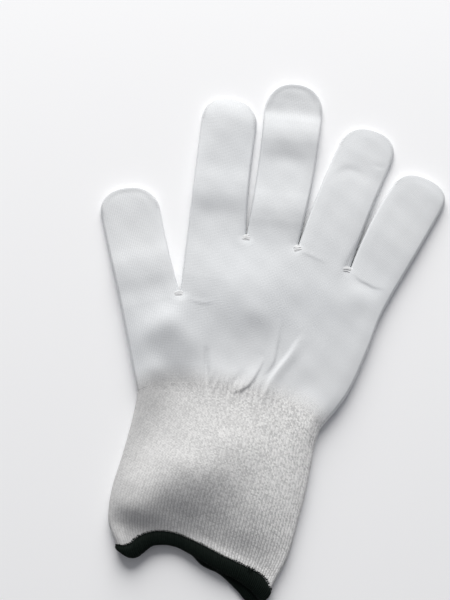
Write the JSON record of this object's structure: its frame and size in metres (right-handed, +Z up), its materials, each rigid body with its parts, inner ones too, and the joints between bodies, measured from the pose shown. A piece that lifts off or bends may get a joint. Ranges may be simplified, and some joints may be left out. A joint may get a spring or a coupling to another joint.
{
  "type": "nylon inspection glove",
  "caption": "Fine seamless-knit inspection glove lying flat, hollow from the open elastic cuff to the fingertips, with a dark overlocked hem.",
  "frame": {"origin": "middle of the glove's outline seen from above, on the surface that it lies on", "axes": "+Y from the hem to the middle fingertip, +X across the palm to the little finger, +Z up off the surface"},
  "size_m": [0.1563, 0.2404, 0.0151],
  "materials": {
    "knit_hand": "white nylon in a fine plain knit, matt",
    "knit_cuff": "white nylon laid in with elastic, a coarser speckled knit, matt",
    "hem_thread": "very dark green overlock thread wound closely over the edge"
  },
  "bodies": {
    "root": {"palm": "knit_hand", "thumb": "knit_hand", "index_finger": "knit_hand", "middle_finger": "knit_hand", "ring_finger": "knit_hand", "little_finger": "knit_hand", "cuff": "knit_cuff", "hem": "hem_thread"}
  },
  "joints": []
}
